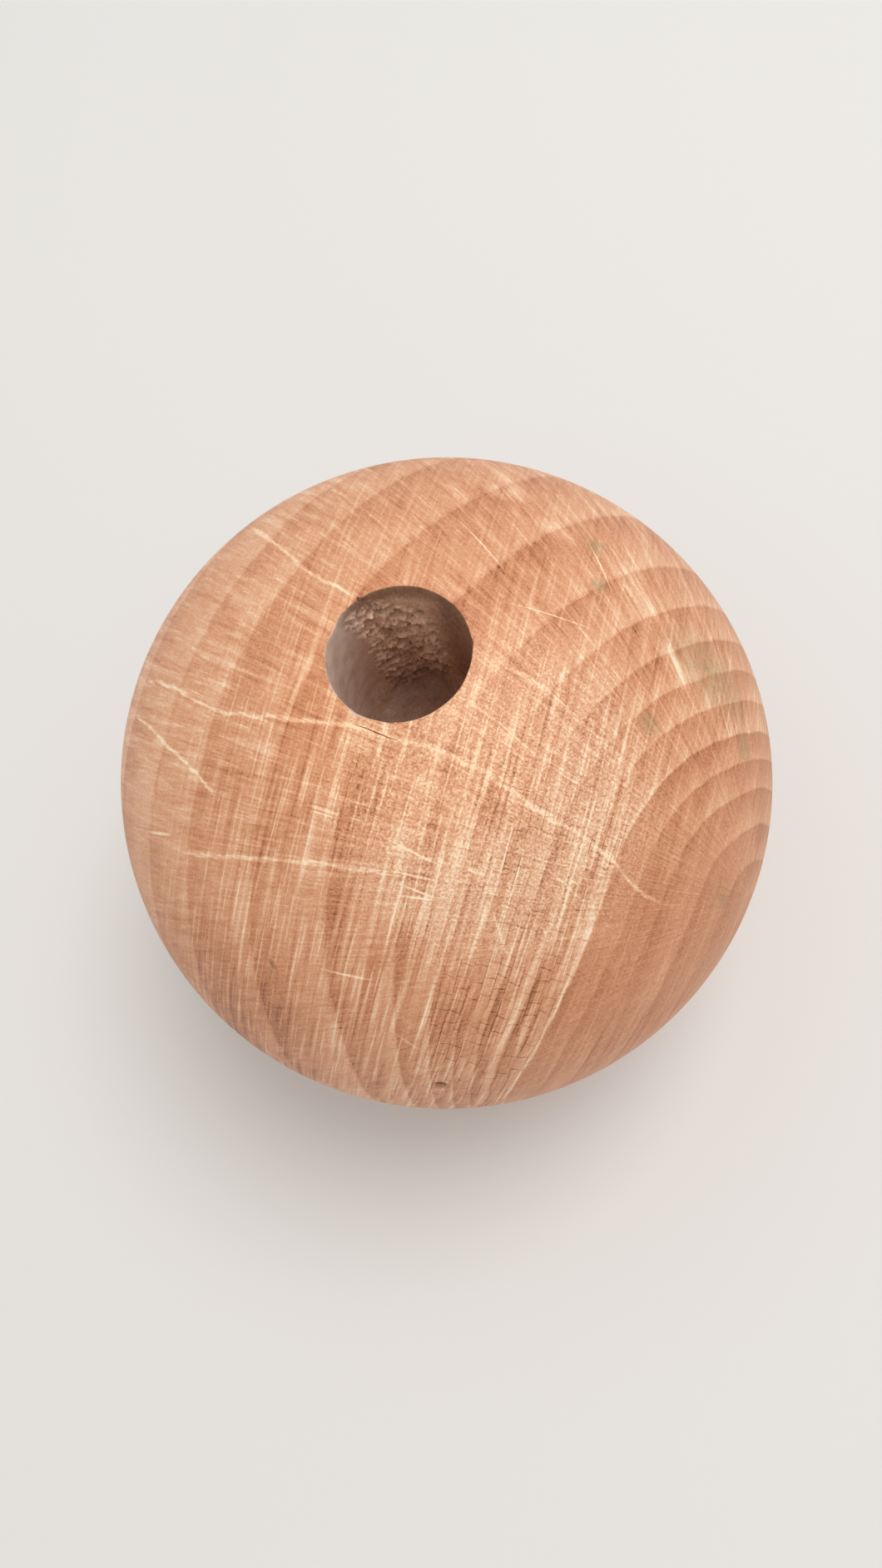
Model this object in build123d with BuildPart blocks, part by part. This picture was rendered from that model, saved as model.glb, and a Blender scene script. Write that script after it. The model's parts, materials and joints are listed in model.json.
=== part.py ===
"""A turned wooden ball with one blind hole for a peg, in millimetres.

The origin is the centre of the ball, and +Z runs along the hole and out of its mouth.
Angles round the hole are counted from +X towards +Y.
"""
import os
from math import cos, radians, sin, sqrt

from build123d import *

# The ball and its drilled hole
ball_diameter = 80.0
hole_diameter = 14.0
hole_depth = 20.0  # down the wall, from the edge of the mouth to the floor

# The chip and the nick broken out of the edge of the mouth
chip_angle = -145.0
chip_width = 1.8  # along the edge
chip_reach = 0.3  # outwards, past the wall of the hole
nick_angle = 104.0
nick_width = 1.2
nick_reach = 0.45

# The short drying check in the surface beside the mouth
check_angle = -123.0  # where its middle lies
check_gap = 1.1  # from the wall of the hole to its middle
check_turn = -10.0  # how far it turns away from a line round the hole
check_length = 5.2
check_width = 0.16
check_depth = 0.45

ball_radius = ball_diameter / 2
hole_radius = hole_diameter / 2
mouth_height = sqrt(ball_radius**2 - hole_radius**2)
floor_height = mouth_height - hole_depth


def break_edge(angle, width, reach):
    """Take a round bite out of the edge of the mouth, width along it and reach past the wall."""
    bite_radius = (width**2 / 4 + reach**2) / (2 * reach)
    from_axis = hole_radius + reach - bite_radius
    place = (from_axis * cos(radians(angle)), from_axis * sin(radians(angle)), mouth_height)
    with Locations(place):
        Sphere(bite_radius, mode=Mode.SUBTRACT)


def surface_plane(angle, from_axis, turn):
    """Give the plane that touches the ball there, with X turned from a line round the hole."""
    outward = Vector(cos(radians(angle)), sin(radians(angle)), 0)
    round_hole = Vector(-sin(radians(angle)), cos(radians(angle)), 0)
    point = outward * from_axis + Vector(0, 0, sqrt(ball_radius**2 - from_axis**2))
    touching = Plane(origin=point, x_dir=round_hole, z_dir=point.normalized())
    return touching.rotated((0, 0, turn))


# Ball: turned round its axis and drilled, with a crisp edge to the mouth, then worn
with BuildPart() as ball:
    with BuildSketch(Plane.XZ):
        with BuildLine():
            foot = (0, -ball_radius)
            mouth_edge = (hole_radius, mouth_height)
            ThreePointArc(foot, (ball_radius, 0), mouth_edge)
            Polyline(mouth_edge, (hole_radius, floor_height), (0, floor_height), foot)
        make_face()
    revolve(axis=Axis.Z)

    break_edge(chip_angle, chip_width, chip_reach)
    break_edge(nick_angle, nick_width, nick_reach)

    # The check is a V-groove, deepest in its middle, cut by the rim of a thin wheel
    check_plane = surface_plane(check_angle, hole_radius + check_gap, check_turn)
    ball_drop = ball_radius - sqrt(ball_radius**2 - check_length**2 / 4)
    wheel_drop = check_depth - ball_drop
    wheel_radius = (check_length**2 / 4 + wheel_drop**2) / (2 * wheel_drop)
    wheel_centre = check_plane.origin + check_plane.z_dir * (wheel_radius - check_depth)
    with BuildSketch(Plane(origin=check_plane.origin, x_dir=check_plane.y_dir, z_dir=check_plane.x_dir)):
        with BuildLine():
            Polyline(
                (0, -check_depth),
                (check_width, check_depth),
                (-check_width, check_depth),
                close=True,
            )
        make_face()
    revolve(axis=Axis(wheel_centre, check_plane.y_dir), mode=Mode.SUBTRACT)
ball.part.label = "ball"

os.makedirs("parts", exist_ok=True)
export_step(ball.part, "parts/ball.step")
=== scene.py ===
# %% [markdown]
# A turned wooden ball with one drilled hole
#
# The real thing is a single piece of pale brown wood. A turner made it round on a lathe, drilled one hole
# along its grain for a peg, and sanded it. This lesson rebuilds it in Blender: the mesh is turned from a
# half outline, the worn places are cut into it, and one wood material works out rings, rays and fibres
# from where each point lay in the tree.
#
# It could also be a ball with a picture of wood on it. Wood worked out in the tree's own directions is
# better, because it fits on every side and meets itself without a seam.

# %% Load the frame
import json
import math

import bpy
from mathutils import Matrix, Vector, noise


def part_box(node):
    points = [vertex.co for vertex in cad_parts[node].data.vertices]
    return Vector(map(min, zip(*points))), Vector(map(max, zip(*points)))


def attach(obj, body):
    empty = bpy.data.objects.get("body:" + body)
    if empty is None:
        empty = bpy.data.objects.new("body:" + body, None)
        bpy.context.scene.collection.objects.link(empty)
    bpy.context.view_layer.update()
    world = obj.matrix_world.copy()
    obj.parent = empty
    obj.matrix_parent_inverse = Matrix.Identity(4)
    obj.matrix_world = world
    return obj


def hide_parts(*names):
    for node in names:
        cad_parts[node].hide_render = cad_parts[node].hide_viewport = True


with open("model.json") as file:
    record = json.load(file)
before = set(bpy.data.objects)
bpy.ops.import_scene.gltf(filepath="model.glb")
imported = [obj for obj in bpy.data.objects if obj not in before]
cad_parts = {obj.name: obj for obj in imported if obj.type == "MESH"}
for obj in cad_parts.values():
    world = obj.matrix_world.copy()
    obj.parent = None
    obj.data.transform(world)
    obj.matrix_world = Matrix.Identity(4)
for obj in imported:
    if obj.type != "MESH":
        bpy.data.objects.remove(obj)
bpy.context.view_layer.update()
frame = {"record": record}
MM = 0.001

# %% [markdown]
# Sizes come from the frame
#
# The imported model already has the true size, so nothing is typed twice. The ball's box gives its radius,
# and the record's mount gives the hole's radius, its place and its depth.

# %% Sizes of the ball and its hole
low_corner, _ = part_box("ball")
ball_radius = -low_corner.z
peg_hole = frame["record"]["mounts"][0]
hole_radius = peg_hole["dims"]["r_mm"] * MM
hole_floor = peg_hole["pos_m"][2] - peg_hole["dims"]["length_mm"] * MM / 2
mouth_height = math.sqrt(ball_radius**2 - hole_radius**2)
print("ball radius", ball_radius, "hole radius", hole_radius, "hole floor at", hole_floor)

# %% [markdown]
# The camera stands where the photo was taken
#
# The photo was taken from close by with a wide lens, so the ball shows less than half of itself and near
# things look large. Its distance follows from how big the ball looks: its outline is 391.6 pixels in
# radius behind a lens worth 1300 pixels. The hole looks 19.4 degrees away from the middle, and the picture
# is rolled a little to one side.

# %% Camera
photo_width, photo_height = 1060, 1885
focal_pixels = 1300
outline_centre = (536.8, 941.4)
outline_pixels = 391.6
camera_elevation = math.radians(70.57)
camera_roll = math.radians(-20.5)
camera_distance = ball_radius * math.sqrt(1 + (focal_pixels / outline_pixels) ** 2)

camera_turn = Matrix.Rotation(math.pi / 2 - camera_elevation, 4, "X") @ Matrix.Rotation(camera_roll, 4, "Z")
camera_place = camera_turn @ Vector((0, 0, camera_distance))
camera_data = bpy.data.cameras.new("photo_camera")
camera_data.sensor_width = 36
camera_data.lens = camera_data.sensor_width * focal_pixels / photo_height
camera_data.shift_x = (photo_width / 2 - outline_centre[0]) / photo_height
camera_data.shift_y = (outline_centre[1] - photo_height / 2) / photo_height
camera_data.clip_start = 0.005
camera = bpy.data.objects.new("photo_camera", camera_data)
camera.matrix_world = Matrix.Translation(camera_place) @ camera_turn
bpy.context.scene.collection.objects.link(camera)
bpy.context.scene.camera = camera
print("camera distance", camera_distance, "lens", camera_data.lens)


# %% [markdown]
# From a place in the picture to a place on the ball
#
# Scratches, stains and checks are read from the photo as pixel places. A line of sight through the pixel
# meets the ball where the mark is, so each mark lands on the real surface and stays there from every side.

# %% Lines of sight
def on_ball(x, y):
    """Return the point of the ball, in metres, that shows at pixel x, y of the photo."""
    right = (x - outline_centre[0]) / focal_pixels
    up = (outline_centre[1] - y) / focal_pixels
    sight = (camera_turn @ Vector((right, up, -1))).normalized()
    nearest = -camera_place.dot(sight)
    miss = (camera_place + sight * nearest).length
    depth = math.sqrt(max(0.0, ball_radius**2 - miss**2))
    return (camera_place + sight * (nearest - depth)).normalized() * ball_radius


print("the hole's middle shows at", on_ball(478.8, 785.9))

# %% [markdown]
# Turning the ball
#
# A lathe makes a round thing from an outline, and Blender's Spin does the same. The outline starts as a
# circle, which is bisected to a half, cut off at the mouth of the hole, and extruded down the wall and in
# to the axis. Bevels round the mouth's edge a little, and the dusty corner of the floor much more, before
# the spin. The wall and the floor are subdivided so that torn fibres have points to move.

# %% Tools for modelling in edit mode
def start_piece(name):
    """Name the active object and put it in edit mode with nothing selected."""
    piece = bpy.context.object
    piece.name = piece.data.name = name
    bpy.ops.object.mode_set(mode="EDIT")
    bpy.ops.mesh.select_all(action="DESELECT")
    return piece


def select_points(piece, wanted, mode="VERT"):
    """Select only the vertices whose place passes the test, and what lies between them."""
    bpy.ops.object.mode_set(mode="OBJECT")
    for part in (piece.data.vertices, piece.data.edges, piece.data.polygons):
        part.foreach_set("select", [False] * len(part))
    for vertex in piece.data.vertices:
        vertex.select = wanted(vertex.co)
    bpy.ops.object.mode_set(mode="EDIT")
    bpy.ops.mesh.select_mode(type="VERT")
    bpy.ops.mesh.select_mode(type=mode)


def near(value, target, slack=0.02 * MM):
    """Say whether a length is the wanted one."""
    return abs(value - target) < slack


# %% The half outline
outline_points = 250  # puts a point on the edge of the mouth
mouth_easing = 0.15 * MM
floor_easing = 3 * MM
edge_row = 0.5 * MM
wall_rows, floor_rows, mouth_rows, corner_rows = 100, 14, 5, 26
turn_steps = 288
hair = 0.001 * MM  # nearer than this is touching

bpy.ops.object.select_all(action="DESELECT")
bpy.ops.mesh.primitive_circle_add(vertices=outline_points, radius=ball_radius, fill_type="NGON")
bpy.ops.transform.rotate(value=math.pi / 2, orient_axis="X", center_override=(0, 0, 0))
bpy.ops.object.transform_apply(rotation=True)
ball = start_piece("turned_ball")
bpy.ops.mesh.select_all(action="SELECT")
bpy.ops.mesh.bisect(plane_co=(0, 0, 0), plane_no=(1, 0, 0), clear_inner=True, threshold=hair)
bpy.ops.mesh.select_all(action="SELECT")
bpy.ops.mesh.bisect(plane_co=(0, 0, mouth_height), plane_no=(0, 0, 1), clear_outer=True, threshold=hair)

bpy.ops.mesh.select_all(action="SELECT")
bpy.ops.mesh.delete(type="ONLY_FACE")
select_points(ball, lambda co: near(co.x, 0) and near(co.z, mouth_height))
bpy.ops.mesh.delete(type="VERT")

select_points(ball, lambda co: near(co.z, mouth_height))
wall_drop = hole_floor - mouth_height + edge_row
bpy.ops.mesh.extrude_region_move(TRANSFORM_OT_translate={"value": (0, 0, -edge_row)})
bpy.ops.mesh.extrude_region_move(TRANSFORM_OT_translate={"value": (0, 0, wall_drop)})
bpy.ops.mesh.extrude_region_move(TRANSFORM_OT_translate={"value": (-hole_radius, 0, 0)})
select_points(ball, lambda co: near(co.z, mouth_height))
bpy.ops.mesh.bevel(offset=mouth_easing, segments=mouth_rows, affect="VERTICES")
select_points(ball, lambda co: near(co.x, hole_radius) and near(co.z, hole_floor))
bpy.ops.mesh.bevel(offset=floor_easing, segments=corner_rows, affect="VERTICES")
print("outline points", len(ball.data.vertices))

# %% Finer rows down the wall and across the floor
select_points(ball, lambda co: near(co.x, hole_radius) and co.z < mouth_height - edge_row * 0.75, "EDGE")
bpy.ops.mesh.subdivide(number_cuts=wall_rows)
select_points(ball, lambda co: near(co.z, hole_floor), "EDGE")
bpy.ops.mesh.subdivide(number_cuts=floor_rows)

# %% The spin
bpy.ops.mesh.select_mode(type="VERT")
bpy.ops.mesh.select_all(action="SELECT")
bpy.ops.mesh.spin(steps=turn_steps, angle=2 * math.pi, center=(0, 0, 0), axis=(0, 0, 1))
bpy.ops.mesh.select_all(action="SELECT")
bpy.ops.mesh.remove_doubles(threshold=0.002 * MM)
bpy.ops.mesh.normals_make_consistent(inside=False)
bpy.ops.object.mode_set(mode="OBJECT")
print("turned faces", len(ball.data.polygons))

# %% [markdown]
# Wear at the mouth
#
# The edge of the hole is chipped on one side and split on the other, a short check lies open beside it, and
# there is a knock low down on the ball. One Boolean cut takes them all away.

# %% Cutting tools
cutting_tools = []


def keep_tool(name):
    """Bake the active object's place into its mesh and keep it as a cutting tool."""
    bpy.ops.object.transform_apply(location=True, rotation=True, scale=True)
    tool = bpy.context.object
    tool.name = name
    cutting_tools.append(tool)
    return tool


def cut_wedge(name, angle, reach, width, depth):
    """Add a four-sided wedge, point down, whose outer edge passes the wall of the hole by reach."""
    thickness = 3 * reach
    from_axis = hole_radius + reach - thickness
    turn = math.radians(angle)
    bpy.ops.object.select_all(action="DESELECT")
    bpy.ops.mesh.primitive_cone_add(
        vertices=4,
        radius1=0,
        radius2=2,
        depth=2,
        location=(from_axis * math.cos(turn), from_axis * math.sin(turn), mouth_height),
        rotation=(0, 0, turn),
        scale=(thickness, width / 2 * thickness / reach, depth),
    )
    keep_tool(name)


cut_wedge("mouth_chip", -143, 0.45 * MM, 2.8 * MM, 1.6 * MM)
cut_wedge("mouth_split", 104.5, 0.4 * MM, 0.7 * MM, 3.2 * MM)
cut_wedge("mouth_kink", -14, 0.2 * MM, 1.8 * MM, 1.2 * MM)
print("wedges", len(cutting_tools))

# %% The V-rimmed wheel that opens the check
check_middle = Vector((-4.43, -6.82, 0)) * MM
check_middle.z = math.sqrt(ball_radius**2 - check_middle.xy.length_squared)
check_course = Vector((3.4, -3.24, 0))
check_length, check_width, check_depth = 5.2 * MM, 0.18 * MM, 0.45 * MM
ball_drop = ball_radius - math.sqrt(ball_radius**2 - check_length**2 / 4)
wheel_drop = check_depth - ball_drop
wheel_radius = (check_length**2 / 4 + wheel_drop**2) / (2 * wheel_drop)
rim_depth = 2 * check_depth
rim_waves, rim_sway = 0.9 * MM, 0.14 * MM
wheel_half = check_width / 2 * rim_depth / check_depth

bpy.ops.object.select_all(action="DESELECT")
bpy.ops.mesh.primitive_cylinder_add(vertices=240, radius=wheel_radius, depth=2 * wheel_half)
wheel = start_piece("check_wheel")
bpy.ops.mesh.select_all(action="SELECT")
bpy.ops.mesh.bisect(plane_co=(0, 0, 0), plane_no=(0, 0, 1), threshold=hair)
select_points(wheel, lambda co: abs(co.z) > wheel_half / 2)
shrink = 1 - rim_depth / wheel_radius
bpy.ops.transform.resize(value=(shrink, shrink, 1))
bpy.ops.object.mode_set(mode="OBJECT")
for vertex in wheel.data.vertices:
    vertex.co.z += noise.noise(vertex.co.xy.to_3d() / rim_waves) * rim_sway
surface = check_middle.normalized()
check_line = check_course.normalized()
check_line = (check_line - surface * check_line.dot(surface)).normalized()
wheel_turn = Matrix((check_line, check_line.cross(-surface), surface)).transposed()
wheel.matrix_world = Matrix.Translation(check_middle + surface * (wheel_radius - check_depth)) @ (
    wheel_turn @ Matrix.Rotation(math.pi / 2, 3, "X")
).to_4x4()
keep_tool("check_wheel")
print("check wheel radius", wheel_radius)

# %% The rough ball that makes the knock, and the cut
knock_middle = on_ball(530, 1304)
knock_radius = 0.75 * MM
knock_lift = 1.006  # its middle lies just outside the ball
knock_waves, knock_roughness = 0.6 * MM, 0.5
bpy.ops.object.select_all(action="DESELECT")
bpy.ops.mesh.primitive_ico_sphere_add(
    subdivisions=4, radius=knock_radius, location=knock_middle * knock_lift
)
knock = keep_tool("knock_tool")
for vertex in knock.data.vertices:
    vertex.co += (vertex.co - knock_middle) * noise.noise(vertex.co / knock_waves) * knock_roughness

bpy.ops.object.select_all(action="DESELECT")
for tool in cutting_tools:
    tool.select_set(True)
bpy.context.view_layer.objects.active = cutting_tools[0]
bpy.ops.object.join()
cutter = bpy.context.object
bpy.ops.object.select_all(action="DESELECT")
ball.select_set(True)
bpy.context.view_layer.objects.active = ball
cut = ball.modifiers.new("wear", "BOOLEAN")
cut.operation = "DIFFERENCE"
cut.object = cutter
bpy.ops.object.modifier_apply(modifier=cut.name)
bpy.data.objects.remove(cutter)
print("faces after the cuts", len(ball.data.polygons))

# %% [markdown]
# Torn fibres down the wall
#
# Where the drill met the grain edge-on it tore the wall instead of cutting it. The real strip is a field of
# small ledges, wider than they are high, that starts near the split edge and runs down over the corner of
# the floor. The wall has a point about every fifth of a millimetre, so noise that is stretched round the
# hole can push them in and out. The mouth is also a little out of round.

# %% How torn the wall is
def step(value, start, end):
    """Rise smoothly from 0 at start to 1 at end."""
    part = min(1.0, max(0.0, (value - start) / (end - start)))
    return part * part * (3 - 2 * part)


def torn_share(angle, depth):
    """Say how torn the wall is at an angle in degrees and a depth in mm below the mouth."""
    ragged = noise.noise(Vector((angle / 9, depth / 1.5, 0))) * 7
    right_edge = 47 + 16 * step(depth, 9, 3)
    left_edge = 122 - 12 * step(depth, 3, 9)
    right = step(angle + ragged, right_edge - 2, right_edge + 3)
    left = step(angle + ragged, left_edge + 4, left_edge - 5)
    top_edge = 1.2 + 3.6 * step(angle, 100, 60)
    top = step(depth + ragged * 0.12, top_edge - 0.4, top_edge + 0.8)
    foot = step(depth + ragged * 0.3, 22, 18.5)
    return right * left * top * foot


print("torn share in the middle of the strip", torn_share(85, 10))

# %% Torn strip and uneven mouth
hole_depth = peg_hole["dims"]["length_mm"]
wall_slack = 0.4 * MM
out_of_round = 0.05
lip_angle, lip_height = 138, 0.2  # a lip left standing between the split and the chip
ledge_width, ledge_height = 1.3, 0.75
moved = 0
for vertex in ball.data.vertices:
    from_axis = vertex.co.xy.length
    depth = (mouth_height - vertex.co.z) / MM
    on_wall = hole_radius - floor_easing - wall_slack <= from_axis <= hole_radius + wall_slack
    if not on_wall or vertex.co.z < 0 or depth > hole_depth - 0.01:
        continue
    turn = math.degrees(math.atan2(vertex.co.y, vertex.co.x))
    outward_way = Vector((vertex.co.x, vertex.co.y, 0)).normalized()
    if vertex.co.z < hole_floor + floor_easing:
        corner_core = outward_way * (hole_radius - floor_easing) + Vector((0, 0, hole_floor + floor_easing))
        outward_way = (vertex.co - corner_core).normalized()
        depth += (hole_radius - from_axis) / MM
    arc_length = math.radians(turn) * hole_radius / MM
    shift = out_of_round * noise.noise(outward_way * 2.5) * step(depth, 4, 0)
    shift -= lip_height * step(abs(turn - lip_angle), 13, 2) * step(depth, 3, 0.3)
    share = torn_share(turn, depth)
    if share > 0:
        ledge = Vector((arc_length / ledge_width, depth / ledge_height, 0))
        lump = noise.noise(ledge) + 0.5 * noise.noise(ledge * 2.1 + Vector((7, 3, 1)))
        crumb = noise.noise(ledge * 4.3 + Vector((2, 9, 4)))
        lump_height = 0.55 + 0.35 * step(turn, 90, 55)
        shift += share * (0.05 - lump_height * lump - 0.3 * crumb)
        moved += 1
    vertex.co += outward_way * shift * MM
print("points of the torn strip", moved)

# %% [markdown]
# Plain floor and soft light
#
# The floor is pale and plain, and touches the ball at its foot. A large soft lamp stands where the room's
# light came from, near the camera and beyond the top of the picture, and an even sky lights the rest.

# %% Floor, lamp and sky
bpy.ops.object.select_all(action="DESELECT")
bpy.ops.mesh.primitive_plane_add(size=6, location=(0, 0, -ball_radius))
floor = bpy.context.object
floor.name = "studio_floor"
floor_paint = bpy.data.materials.new("pale_floor")
floor_paint.use_nodes = True
floor_shader = floor_paint.node_tree.nodes["Principled BSDF"]
floor_shader.inputs["Base Color"].default_value = (0.78, 0.77, 0.75, 1)
floor_shader.inputs["Roughness"].default_value = 0.8
floor.data.materials.append(floor_paint)

lamp_data = bpy.data.lights.new("soft_lamp", "AREA")
lamp_data.shape = "DISK"
lamp_data.size = 0.5
lamp_data.energy = 3.75
lamp_distance = 0.9
lamp = bpy.data.objects.new("soft_lamp", lamp_data)
picture_up = camera_turn @ Vector((0, 1, 0))
lamp_direction = (picture_up * 0.5 + camera_turn @ Vector((0.15, 0, 0.85))).normalized()
lamp.location = lamp_direction * lamp_distance
lamp.rotation_euler = lamp_direction.to_track_quat("Z", "Y").to_euler()
bpy.context.scene.collection.objects.link(lamp)

sky = bpy.data.worlds.new("even_sky")
sky.use_nodes = True
sky.node_tree.nodes["Background"].inputs["Color"].default_value = (1, 0.985, 0.965, 1)
sky.node_tree.nodes["Background"].inputs["Strength"].default_value = 0.66
bpy.context.scene.world = sky
bpy.context.scene.view_settings.view_transform = "Standard"
print("lamp at", lamp.location)

# %% [markdown]
# Where each bit of wood lay in the tree
#
# The ball was cut beside the heart of the tree, and its hole runs nearly along the fibres, so the face
# round the hole is end grain. Rings are then circles round the heart, rays run straight out from it, and
# fibres run along it. A material that knows its distance from the heart, its angle round it and its place
# along it paints all three alike on every side of the ball, also where the wood turns to long grain.

# %% The tree's directions, in millimetres
fibre = Vector((-0.021, -0.337, 0.941)).normalized()
heart = Vector((28.1, -23.0, -7.6))
outward = (-heart - fibre * (-heart).dot(fibre)).normalized()
around = fibre.cross(outward)
print("heart of the tree runs", (heart - fibre * heart.dot(fibre)).length, "mm from the ball's middle")

# %% [markdown]
# Sums that become shader nodes
#
# Blender's materials are networks of small nodes. Writing them out one by one hides the thought behind
# them, so a small class stands for the output of a node, and plus, minus and times on it add Math nodes.

# %% Shader maths
class Level:
    """One output of a node. A sum on it adds the Math node that works it out."""

    def __init__(self, socket):
        self.socket = socket

    def __add__(self, other):
        return node("Math", {"operation": "ADD"}, {0: self, 1: other})

    def __sub__(self, other):
        return node("Math", {"operation": "SUBTRACT"}, {0: self, 1: other})

    def __rsub__(self, other):
        return node("Math", {"operation": "SUBTRACT"}, {0: other, 1: self})

    def __mul__(self, other):
        return node("Math", {"operation": "MULTIPLY"}, {0: self, 1: other})

    def __truediv__(self, other):
        return node("Math", {"operation": "DIVIDE"}, {0: self, 1: other})

    def __pow__(self, other):
        return node("Math", {"operation": "POWER"}, {0: self, 1: other})

    def __abs__(self):
        return node("Math", {"operation": "ABSOLUTE"}, {0: self})

    __radd__ = __add__
    __rmul__ = __mul__


wood = bpy.data.materials.new("turned_wood")
wood.use_nodes = True


def node(kind, settings=None, sockets=None, gives=0):
    """Add a node to the wood: first its settings, then the values or links of its sockets."""
    made = wood.node_tree.nodes.new("ShaderNode" + kind)
    for name, value in (settings or {}).items():
        if name == "stops":
            ramp = made.color_ramp.elements
            while len(ramp) < len(value):
                ramp.new(1)
            for stop, (position, colour) in zip(ramp, value):
                stop.position = position
                stop.color = (*colour, 1)
        elif name == "points":
            curve = made.mapping.curves[0].points
            while len(curve) < len(value):
                curve.new(1, 1)
            for point, place in zip(curve, value):
                point.location = place
            made.mapping.update()
        else:
            setattr(made, name, value)
    for name, value in (sockets or {}).items():
        if isinstance(value, Level):
            wood.node_tree.links.new(value.socket, made.inputs[name])
        else:
            made.inputs[name].default_value = value
    return Level(made.outputs[gives])


def vector_sum(operation, first, second):
    """Add, subtract or multiply two vectors."""
    return node("VectorMath", {"operation": operation}, {0: first, 1: second})


def along_line(place, direction):
    """Measure how far a place lies along a direction."""
    return node("VectorMath", {"operation": "DOT_PRODUCT"}, {0: place, 1: direction}, "Value")


def limited(value):
    """Keep a level between 0 and 1."""
    return node("Clamp", None, {"Value": value})


def ease(value, start, end):
    """Rise smoothly from 0 where the value is start to 1 where it is end."""
    ends = {"Value": value, "From Min": start, "From Max": end}
    return node("MapRange", {"interpolation_type": "SMOOTHSTEP"}, ends)


def gather(x, y, z):
    """Make a vector of three levels."""
    return node("CombineXYZ", None, {0: x, 1: y, 2: z})


def grain_noise(place, scale=1.0, detail=2.0, roughness=0.5):
    """Give soft random values round 0, from about -0.5 to 0.5."""
    sockets = {"Vector": place, "Scale": scale, "Detail": detail, "Roughness": roughness}
    return node("TexNoise", None, sockets, "Fac") - 0.5


def distance_to(spot):
    """Measure how far the wood is from a point, in millimetres."""
    return node("VectorMath", {"operation": "DISTANCE"}, {0: place, 1: spot}, "Value")


def length_of(vector):
    """Measure the length of a vector."""
    return node("VectorMath", {"operation": "LENGTH"}, {0: vector}, "Value")


def blend(amount, first, second, how="MIX"):
    """Mix two colours."""
    settings = {"data_type": "RGBA", "blend_type": how}
    return node("Mix", settings, {0: amount, 6: first, 7: second}, 2)


# %% Distance from the heart, angle round it, place along it
object_place = node("TexCoord", None, None, "Object")
place = node("VectorMath", {"operation": "SCALE"}, {0: object_place, "Scale": 1 / MM})
from_heart = vector_sum("SUBTRACT", place, heart)
along = along_line(place, fibre)
out_from_heart = along_line(from_heart, outward)
across_heart = along_line(from_heart, around)
ring_distance = (out_from_heart**2 + across_heart**2) ** 0.5
ring_angle = node("Math", {"operation": "ARCTAN2"}, {0: across_heart, 1: out_from_heart})

# %% [markdown]
# Rings
#
# Each year's ring starts pale and open, ends darker and denser, and then jumps back to pale. The edges are
# read from the photo as distances from the heart. A curve turns distance into a ring number, whose fraction
# says how far through its year the wood is. On one side of the heart the tree grew evenly and the rings are
# round. On the other its inner rings run nearly straight, so there the sideways distance counts for less.

# %% Rings
ring_edges = (4.5, 8.5, 12.5, 15.7, 18.7, 22.1, 25.3, 28.8, 32.8, 37.8, 45.2, 52.9, 60.3, 65.8, 72, 78)
reach = 80  # further from the heart than any of the wood
below = node("Math", {"operation": "GREATER_THAN"}, {0: across_heart, 1: 0})
bulge = 1 - below * (1 - ease((out_from_heart + ring_distance) / 2, 25.5, 43) * 0.8)
wave = grain_noise(place, 0.06, 1) * 1.0 + grain_noise(place, 0.35, 1) * 0.4
ring_span = (out_from_heart**2 + across_heart**2 * bulge) ** 0.5 + wave
ring_curve = [(edge / reach, (index + 1) / 20) for index, edge in enumerate(ring_edges)]
ring_number = node("FloatCurve", {"points": ring_curve}, {"Value": ring_span / reach}) * 20
year = node("Math", {"operation": "FRACT"}, {0: ring_number})
year_tones = ((0, 0.48), (0.06, 0.62), (0.45, 0.50), (0.85, 0.40), (0.985, 0.36), (1, 0.42))
ring_stops = [(part_of_year, (tone,) * 3) for part_of_year, tone in year_tones]
ring_tone = node("ValToRGB", {"stops": ring_stops}, {0: year})
print("rings", len(ring_edges))

# %% [markdown]
# Rays, fibres and pores
#
# Rays are thin sheets that stand on edge from the heart outwards: fine strokes on end grain, and short
# flecks on the sides. Fibres and pores are long tubes, so they are dots on end grain and streaks on the
# sides. All are noise that is fine one way and stretched the other, in the tree's own directions. A stroke
# is where smooth noise passes a limit, which keeps it long and whole.

# %% Rays, fibres and pores
arc = ring_angle * 45  # millimetres round the heart at a distance of 45
ray_place = gather(arc, ring_distance * 0.07, along * 0.05)
rays = grain_noise(ray_place, 1.7, 1)
finer_rays = grain_noise(ray_place, 4.1, 1)
ray_strokes = ease(rays, 0.04, 0.2) - ease(rays, -0.06, -0.2) * 0.8 + ease(finer_rays, 0.06, 0.2)
fine_rays = grain_noise(gather(arc, ring_distance * 0.08, along * 0.03), 6, 2, 0.6)
pores = grain_noise(gather(out_from_heart, across_heart, along * 0.05), 4.2, 1, 0.7)
cloud = grain_noise(place, 0.12, 2)
print("nodes so far", len(wood.node_tree.nodes))

# %% [markdown]
# Marks of turning and sanding
#
# The ball was turned about an axis that lies across its grain. The tool and the sandpaper left fine lines
# round that axis, so every line lies in a plane square to it. They are bold below the hole, where the end
# grain was cut against its lie, stop at one ring beside it, and are faint elsewhere. Near that ring small
# dark cracks cross them, like the rungs of ladders, which a brick pattern's joints draw well.

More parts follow.
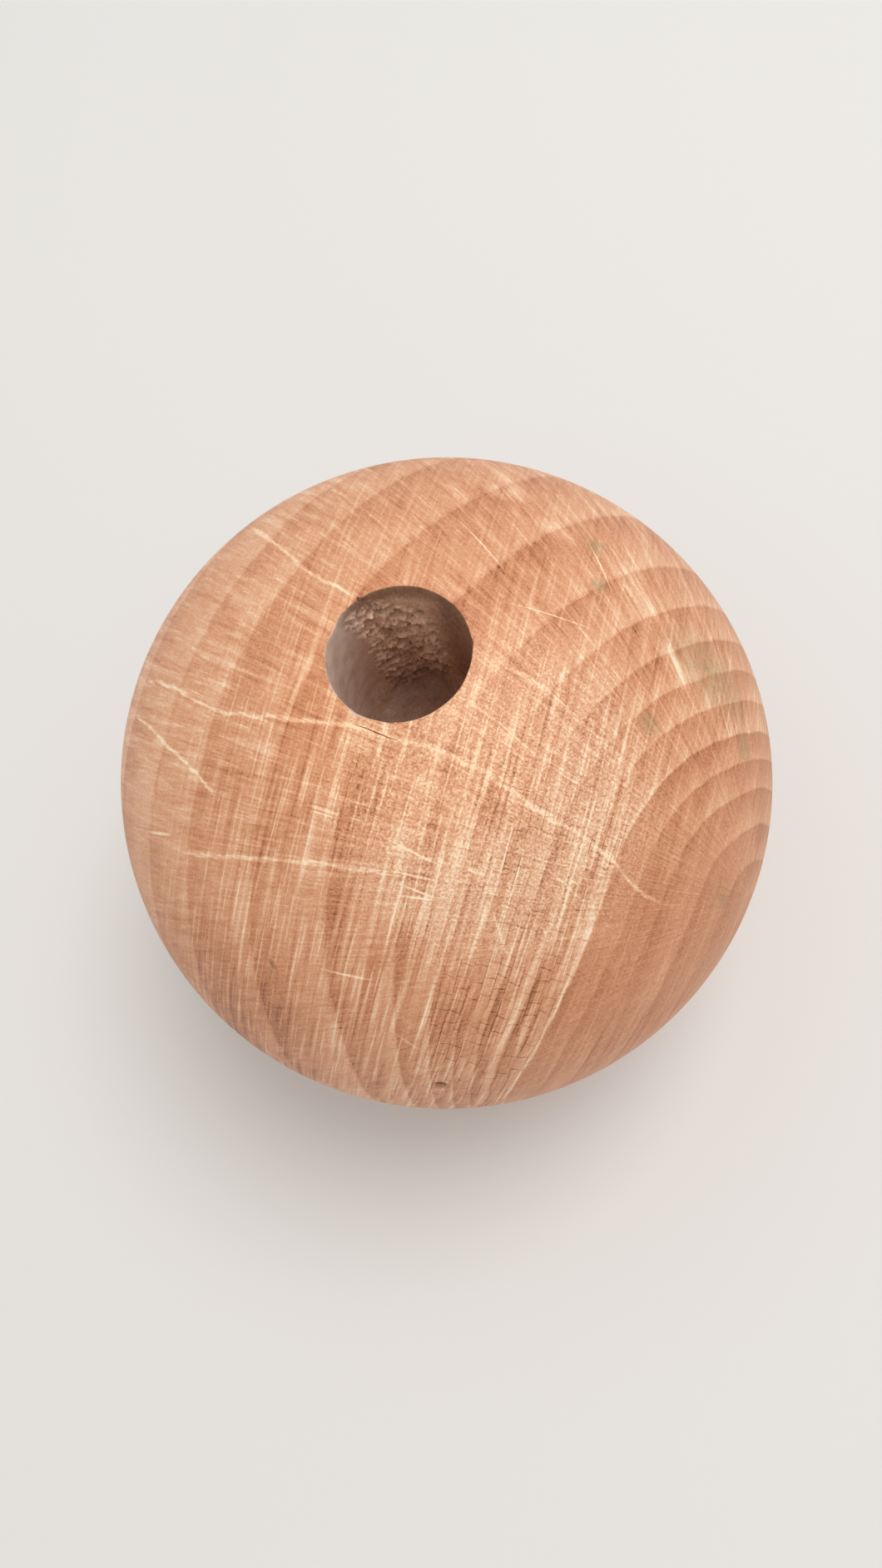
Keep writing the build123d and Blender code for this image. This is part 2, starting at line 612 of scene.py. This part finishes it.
# %% Turning marks
lathe_axis = Vector((-0.809, 0.558, 0.185)).normalized()
lathe_side = fibre.cross(lathe_axis).normalized()
along_axis = along_line(place, lathe_axis)
down_side = along_line(place, lathe_side)
line_place = gather(along_axis, down_side * 0.035, along * 0.03)
ridges = grain_noise(line_place, 0.85, 3, 0.7)
lines = grain_noise(line_place, 2.2, 1)
finer_lines = grain_noise(line_place, 3.4, 1)
line_strokes = ease(lines, 0.05, 0.2) * 0.8 - ease(lines, -0.05, -0.18) * 0.6 + ease(finer_lines, 0.07, 0.2)
print("lathe axis against the fibres", lathe_axis.dot(fibre))

# %% Where the turning marks are bold
bold_start = 18.7  # the ring, in mm from the heart, where they begin
hole_face = ease(along, 12, 22)
bold_side = ease(ring_span, bold_start - 0.2, bold_start + 0.2)
bold_area = bold_side * ease(down_side, -14, 10) * ease(along_axis, 20, 2) * ease(along, -5, 8)
lined_area = (0.3 + bold_side * 0.7) * (0.4 + ease(down_side, -28, -2) * 0.6)
lined_area = lined_area * ease(along_axis, 31, 14) * ease(along, 5, 15)
streak_noise = grain_noise(gather(along_axis * 0.5, down_side * 0.1, 0), 1, 1)
dark_streaks = ease(year, 0.68, 0.95) * ease(streak_noise, -0.02, 0.12) * bold_side * hole_face
edge_line = ease(abs(ring_span - bold_start - 0.15), 0.3, 0.08)
edge_line = edge_line * ease(down_side, -10, -4) * ease(along, 5, 15)
print("nodes so far", len(wood.node_tree.nodes))

# %% Cross cracks between the bold lines
rung_sway = grain_noise(place, 0.5, 1)
rail_sway = grain_noise(place, 0.15, 0) * 0.8
brick_place = gather(down_side + rung_sway, along_axis + rail_sway, 0)
brick_sizes = {"Vector": brick_place, "Scale": 1, "Mortar Size": 0.07, "Mortar Smooth": 0.5}
brick_sizes.update({"Brick Width": 1.9, "Row Height": 1.25})
rungs = node("TexBrick", {"offset": 0.4, "squash": 0.7, "squash_frequency": 3}, brick_sizes, "Fac")
rung_area = bold_side * ease(along_axis, -1, -8) * ease(down_side, -8, 0) * ease(along, 0, 10)
rungs = rungs * rung_area * ease(grain_noise(place, 0.4, 2), -0.16, 0.06)

# %% [markdown]
# Drying checks
#
# As the wood dried it split along its rays, in thin cracks that run from the heart outwards. Dust and
# sanding filled them pale. Each is read from the photo as pixels, turned into angles round the heart, and
# drawn as a line of uneven width. One short stretch beside the hole is still open, and the mesh has it.

# %% Drying checks
check_lines = (
    ((300, 635), (340, 660), (375, 690), (430, 720)),
    ((175, 815), (215, 830), (265, 855), (340, 863), (430, 875), (500, 895), (560, 915), (600, 940),
     (640, 970), (720, 1020), (800, 1085)),
    ((160, 857), (200, 895), (235, 930), (265, 960)),
    ((215, 1025), (350, 1035), (440, 1046), (480, 1050)),
    ((590, 790), (650, 825), (690, 860)),
)
check_wander = grain_noise(gather(ring_distance, ring_angle * 10, along * 0.2), 0.6, 4, 0.6) * 1.8
check_width = 0.34 + grain_noise(place, 0.5, 2) * 0.6 + grain_noise(place, 2.2, 2) * 0.5


def wood_place(x, y):
    """Return distance from the heart, in mm, and angle round it for a pixel of the photo."""
    spot = on_ball(x, y) / MM - heart
    out, across = spot.dot(outward), spot.dot(around)
    return math.hypot(out, across), math.atan2(across, out)


checks = 0
for pixels in check_lines:
    ends = sorted(wood_place(*pixel) for pixel in pixels)
    first, last = ends[0][0], ends[-1][0]
    curve = [(distance / reach, 0.5 + angle / 2) for distance, angle in ends]
    curve = [(0, curve[0][1])] + curve + [(1, curve[-1][1])]
    middle = (node("FloatCurve", {"points": curve}, {"Value": ring_distance / reach}) - 0.5) * 2
    aside = abs((ring_angle - middle) * ring_distance + check_wander * 0.5)
    inside = ease(ring_distance, first - 0.5, first + 2) * ease(ring_distance, last + 0.5, last - 2)
    line = ease(aside, check_width, check_width * 0.1) * inside
    checks = node("Math", {"operation": "MAXIMUM"}, {0: line, 1: checks})
checks = checks * ease(along, 2, 10) * limited(0.8 + fine_rays * 1.5)
print("checks", len(check_lines))

# %% [markdown]
# Scratches, bruises and stains
#
# Handling left short bright scratches, a wide worn area, pale patches and a few green and brown stains; the
# worn area also carries a painted sheen where the broad soft highlight lies. The ones that stand out are
# small ellipses that lie on the ball where the photo shows them. The many fine scratches to the right of
# the hole run two ways, so they are noise stretched along two directions.

# %% Scratches and patches
def stroke(start, end, width):
    """Give 1 along the middle of a stroke between two pixels of the photo, and 0 outside it."""
    first, last = on_ball(*start) / MM, on_ball(*end) / MM
    middle = (first + last) / 2
    length = (last - first).length
    lengthways = (last - first).normalized()
    sideways = lengthways.cross(middle.normalized())
    shift = vector_sum("SUBTRACT", place, middle)
    far = (along_line(shift, lengthways) * (2 / length)) ** 2
    wide = (along_line(shift, sideways) * (2 / width)) ** 2
    return limited(1 - far - wide) * ease(along_line(place, middle.normalized()), 20, 30)


scratch_lines = (
    ((366, 966), (412, 981), 0.45), ((372, 974), (405, 984), 0.25), ((383, 1164), (452, 1179), 0.35),
    ((176, 999), (208, 1004), 0.5), ((560, 1044), (584, 1052), 0.6), ((455, 1003), (540, 1046), 0.3),
    ((468, 1046), (530, 1060), 0.3), ((474, 1060), (526, 1081), 0.25), ((476, 1076), (524, 1082), 0.3),
    ((545, 620), (610, 690), 0.2), ((700, 640), (742, 730), 0.3), ((800, 770), (824, 826), 0.9),
    ((600, 722), (720, 760), 0.18), ((590, 860), (640, 905), 0.2),
)
scratches = 0
for start, end, width in scratch_lines:
    scratches = scratches + stroke(start, end, width)
scratches = limited(scratches)
patch_lines = (
    ((585, 588), (645, 600), 5.0), ((735, 672), (790, 765), 4.5), ((795, 770), (830, 835), 3.0),
    ((640, 620), (700, 660), 3.0), ((420, 870), (455, 905), 3.0),
)
patches = 0
for start, end, width in patch_lines:
    patches = patches + stroke(start, end, width)
patches = limited(patches) * limited(0.7 + ray_strokes * 0.6)
print("scratches", len(scratch_lines), "patches", len(patch_lines))


# %% Worn area with painted sheen, and fine scuffs
def scuffs(lengthways, area):
    """Give thin random scratches along one direction."""
    sideways = lengthways.cross(fibre).normalized()
    scuff_place = gather(along_line(place, sideways), along_line(place, lengthways) * 0.07, along * 0.2)
    return ease(grain_noise(scuff_place, 1.7, 1), 0.19, 0.27) * area


# a worn middle that is also a painted sheen: paler wood, fainter rings and plainer pores where the broad
# soft highlight lies
wear_and_painted_sheen = ease(distance_to(on_ball(600, 960) / MM), 21, 8)
scuffed = ease(along, 22, 32) * ease(along_axis, 6, -6) * (0.35 + 0.65 * ease(ring_span, 17, 22))
steep_scuffs = scuffs(on_ball(700, 640) - on_ball(742, 730), scuffed)
level_scuffs = scuffs(on_ball(640, 760) - on_ball(720, 830), scuffed)
scuff_marks = limited(steep_scuffs + level_scuffs)

# %% Stains
stain_noise = 0.6 + grain_noise(place, 0.9, 3, 0.7) * 2.2
stain_lines = (
    ((700, 650), (730, 664), 3.0), ((712, 695), (726, 712), 2.6), ((765, 862), (795, 878), 3.2),
    ((885, 885), (903, 912), 4.0), ((860, 1072), (876, 1090), 1.6), ((790, 760), (900, 860), 9.0),
)
stains = 0
for start, end, width in stain_lines:
    stains = stains + stroke(start, end, width) * 0.8
stains = limited(stains * stain_noise)
brown_spots = limited(stroke((323, 1152), (333, 1168), 1.0) + stroke((520, 1300), (540, 1309), 2.2))
print("stains", len(stain_lines))

# %% [markdown]
# All tones together
#
# Everything so far is lighter or darker wood, and the worn middle also carries a painted sheen. It is added
# up as one tone, together with a painted shade low on the left, and a ramp of five colours turns the tone
# into colour. That keeps the browns in the family of one real board. Painting each mark in a colour of its
# own would be freer, but the browns would soon drift apart.

# %% One tone
from_axis = length_of(vector_sum("MULTIPLY", place, (1, 1, 0)))
ray_share = (0.6 + bold_side * 0.4) * (0.35 + ease(down_side, 20, 3) * 0.65)
# painted sheen and wear: the rings fade in the worn middle
ring_contrast = 0.95 - wear_and_painted_sheen * 0.3 - (1 - bold_side) * ease(down_side, -6, 4) * 0.5
ring_contrast = ring_contrast - ease(ring_span, 44, 60) * 0.3
pale_left = ease(along_axis, 12, 24) * 0.08
# painted shade: the lower left of the ball is darkened where the light falls off
painted_shade_low_left = ease(down_side, 14, 28) * ease(along_axis, 2, 12) * 0.14
tone = 0.4 + pale_left - painted_shade_low_left + (ring_tone - 0.47) * ring_contrast + cloud * 0.3
tone = tone + pores * (0.45 + wear_and_painted_sheen * 0.85)
tone = tone + ray_strokes * 0.13 * ray_share + fine_rays * 0.4
tone = tone + ridges * (0.2 + bold_area * 0.3) + line_strokes * lined_area * (0.23 + wear_and_painted_sheen * 0.06)
# painted sheen and wear: the worn middle is lifted paler
tone = tone + wear_and_painted_sheen * 0.11 + edge_line * 0.16 - rungs * 0.28 - dark_streaks * 0.03
tone = tone - (1 - bold_side) * hole_face * 0.07
tone = tone + limited(checks) * 0.38 + scratches * 0.5 + patches * 0.28 + scuff_marks * 0.22


# %% Wood colour
def screen_colour(red, green, blue):
    """Turn a colour as a picture file holds it into the light that a shader works with."""
    return tuple(((part / 255 + 0.055) / 1.055) ** 2.4 for part in (red, green, blue))


wood_stops = (
    (0.0, screen_colour(128, 76, 48)),
    (0.25, screen_colour(194, 127, 88)),
    (0.5, screen_colour(221, 161, 122)),
    (0.75, screen_colour(239, 195, 159)),
    (1.0, screen_colour(254, 231, 198)),
)
# painted sheen and wear: the pale colour that the worn middle is blended towards
pale_of_wear_and_sheen = (*screen_colour(238, 214, 190), 1)
warm_tint = (1, 0.93, 0.86, 1)
green_grey = (*screen_colour(148, 134, 92), 1)
pit_brown = (*screen_colour(120, 80, 50), 1)
wood_colour = node("ValToRGB", {"stops": wood_stops}, {0: tone})
wood_colour = blend(wear_and_painted_sheen * 0.08, wood_colour, pale_of_wear_and_sheen)
below_mouth = ease(distance_to(on_ball(500, 850) / MM), 18, 8)
wood_colour = blend(below_mouth, wood_colour, warm_tint, "MULTIPLY")
wood_colour = blend(stains * 0.75, wood_colour, green_grey)
wood_colour = blend(brown_spots * 0.6, wood_colour, pit_brown)

# %% [markdown]
# Inside the hole
#
# The hole is darker and greyer than the outside. Its torn fibres stand proud, and they and the top of the
# torn wall carry a painted highlight; its smooth wall on the left is partly dusty and partly painted with
# the light that falls on it, and its floor is dull. One mask keeps all this inside: near the hole's axis,
# under the ball's skin and above the floor.

# %% Inside the hole
wall_at, floor_at, skin_at = hole_radius / MM, hole_floor / MM, ball_radius / MM
height = along_line(place, (0, 0, 1))
under_skin = ease(length_of(place), skin_at - 0.03, skin_at - 0.13)
in_hole = ease(from_axis, wall_at + 0.95, wall_at + 0.8) * under_skin
in_hole = in_hole * ease(height, floor_at - 2, floor_at - 1)
torn_middle = math.radians(83)
torn_way = (math.cos(torn_middle), math.sin(torn_middle), 0)
# painted highlight: the proud torn fibres and the top of the torn wall are painted lighter, as where light
# catches them
torn_side = ease(along_line(place, torn_way), 4.2, 6.4) * ease(height, 38.5, 36)
painted_highlight_on_torn_wall = limited((wall_at - from_axis) * 0.7 + torn_side * 0.38) * ease(height, floor_at + 0.5, floor_at + 4)
hole_tone = 0.42 + cloud * 0.5 + pores * 0.5 + grain_noise(place, 0.9, 3, 0.6) * 0.5 + painted_highlight_on_torn_wall * 1.1
hole_stops = (
    (0.1, screen_colour(112, 82, 64)),
    (0.5, screen_colour(172, 132, 108)),
    (1.0, screen_colour(246, 206, 176)),
)
hole_colour = node("ValToRGB", {"stops": hole_stops}, {0: hole_tone})
print("above the hole's floor, mm", skin_at - floor_at)

# %% Dust and painted light on the hole's left wall
left_way = camera_turn @ Vector((-1, -0.35, 0))
left_way.z = 0
dust_and_light_grey = (*screen_colour(246, 218, 200), 1)
# painted light with some dust: the hole's left wall, where light falls into the hole, is painted much paler
# and a little greyer
left_dust_and_painted_light = ease(along_line(place, left_way), 1.5, 6) * ease(height, floor_at, floor_at + 4)
left_dust_and_painted_light = left_dust_and_painted_light * (1 + grain_noise(place, 0.7, 3) * 1.5)
hole_colour = blend(limited(left_dust_and_painted_light * 0.9), hole_colour, dust_and_light_grey)
wood_colour = blend(in_hole, wood_colour, hole_colour)

# %% [markdown]
# Relief and finish
#
# The turning marks, pores and scratches can be felt, but they are only hundredths of a millimetre deep, so
# they are bump and not mesh. Bare sanded wood is fairly rough, and a little rougher where dust fills it.

# %% Relief and finish
relief = ridges * bold_area * 0.25 + line_strokes * lined_area * 0.14 + ray_strokes * 0.06 + pores * 0.3
relief = relief - limited(checks) * 0.2 - scratches * 0.3 - rungs * 0.3
roughness = 0.5 + pores * 0.3 + limited(checks) * 0.2
bump = node("Bump", None, {"Strength": 0.6, "Distance": 0.06 * MM, "Height": relief}, "Normal")
shader = wood.node_tree.nodes["Principled BSDF"]
for name, value in {"Base Color": wood_colour, "Roughness": roughness, "Normal": bump}.items():
    wood.node_tree.links.new(value.socket, shader.inputs[name])
shader.inputs["Specular IOR Level"].default_value = 0.35
print("wood nodes", len(wood.node_tree.nodes))

# %% [markdown]
# Hand the ball over
#
# The mesh gets its wood and smooth shading, which stays crisp at corners sharper than 50 degrees. It then
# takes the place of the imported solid, in the same frame.

# %% Wood on the ball
ball.data.materials.clear()
ball.data.materials.append(wood)
bpy.ops.object.select_all(action="DESELECT")
ball.select_set(True)
bpy.context.view_layer.objects.active = ball
bpy.ops.object.shade_smooth_by_angle(angle=math.radians(50))

# %% Hand the piece to the frame
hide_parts("ball")
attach(ball, "root")
